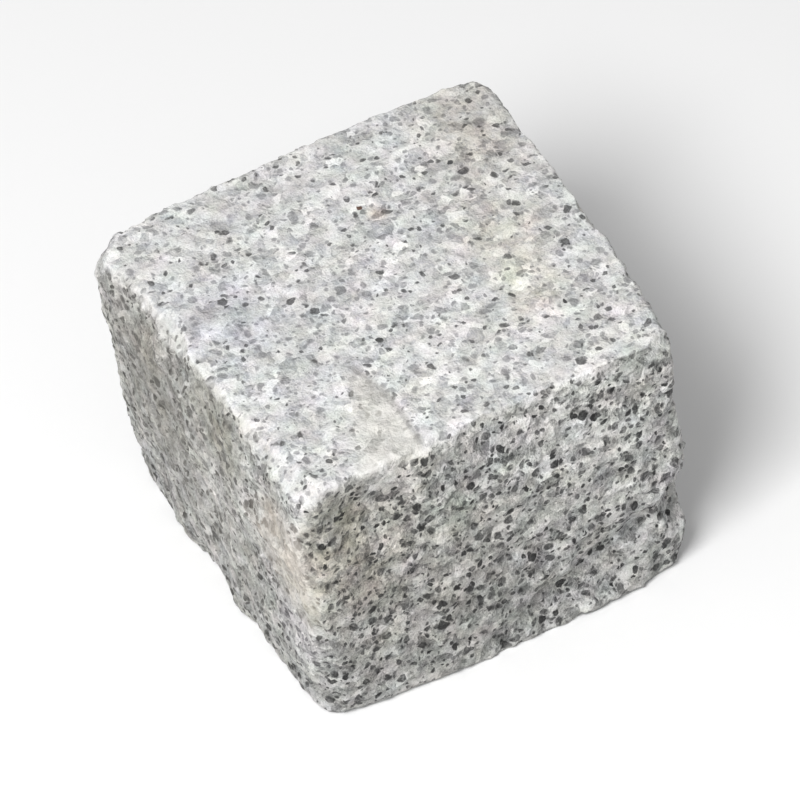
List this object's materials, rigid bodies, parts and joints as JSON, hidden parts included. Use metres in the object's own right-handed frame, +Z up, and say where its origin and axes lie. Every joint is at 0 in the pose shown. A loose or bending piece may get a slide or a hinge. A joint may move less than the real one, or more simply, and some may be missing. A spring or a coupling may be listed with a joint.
{
  "type": "granite sett",
  "caption": "Roughly cubic granite paving sett, split on its sides, with a flat fine-textured head to walk on and a flat bed to lay in sand or mortar.",
  "frame": {"origin": "middle of the sett's overall block, on its bed, the face it is laid on", "axes": "+Z up through the head, the face that is walked on; +X along the row of setts, +Y towards the next row"},
  "size_m": [0.1004, 0.1002, 0.07],
  "materials": {
    "granite": "light grey salt-and-pepper granite, fine flamed texture on the head, rough split faces on the sides"
  },
  "bodies": {
    "root": {"granite_sett": "granite"}
  },
  "joints": []
}
